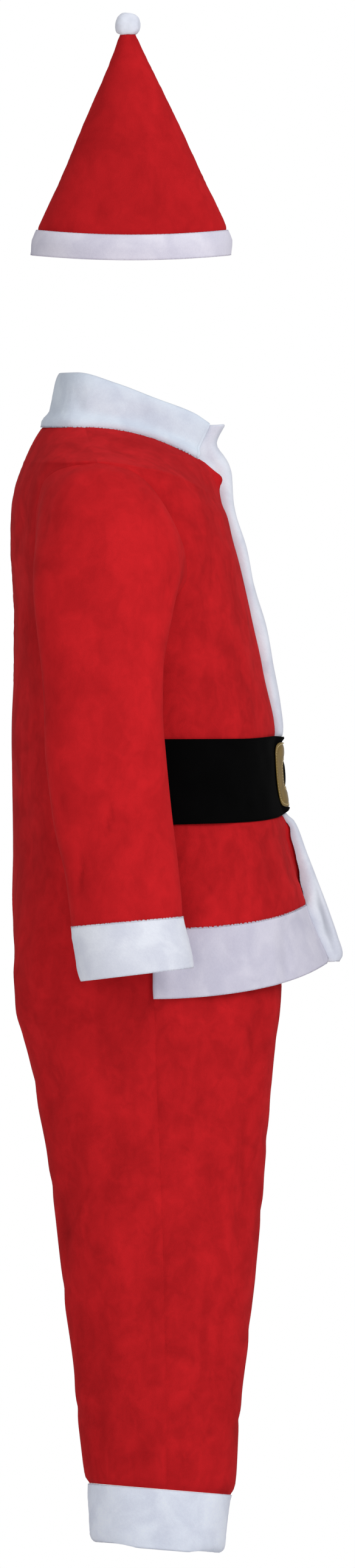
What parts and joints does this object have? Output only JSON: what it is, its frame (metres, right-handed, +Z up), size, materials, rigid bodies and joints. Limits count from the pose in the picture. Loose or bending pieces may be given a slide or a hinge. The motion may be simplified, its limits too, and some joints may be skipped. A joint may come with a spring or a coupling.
{
  "type": "santa suit",
  "caption": "One-piece red velour santa suit with mock jacket front, white plush trim, black belt and buckle, and a matching pointed cap held above it.",
  "frame": {"origin": "middle of the neck at the height of the collar seam, where the wearer's neck and shoulders carry the suit", "axes": "+Z up, -Y the way the wearer faces, -X the wearer's right side"},
  "size_m": [0.6794, 0.4166, 1.9274],
  "materials": {
    "red_velour": "short napped polyester velour, soft sheen",
    "white_plush": "short white plush with fuzzy edges",
    "black_plush": "deep black plush",
    "gold_vinyl": "glossy gold vinyl, stitched on"
  },
  "bodies": {
    "root": {"back_right": "red_velour", "back_left": "red_velour", "jacket_front_right": "red_velour", "jacket_front_left": "red_velour", "trouser_front_right": "red_velour", "trouser_front_left": "red_velour", "sleeve_right": "red_velour", "sleeve_left": "red_velour", "cap_cone": "red_velour", "collar": "white_plush", "front_band": "white_plush", "hem_band_right": "white_plush", "hem_band_left": "white_plush", "sleeve_cuff_right": "white_plush", "sleeve_cuff_left": "white_plush", "trouser_cuff_right": "white_plush", "trouser_cuff_left": "white_plush", "cap_band": "white_plush", "cap_pompom": "white_plush", "belt": "black_plush", "buckle": "gold_vinyl"}
  },
  "joints": []
}
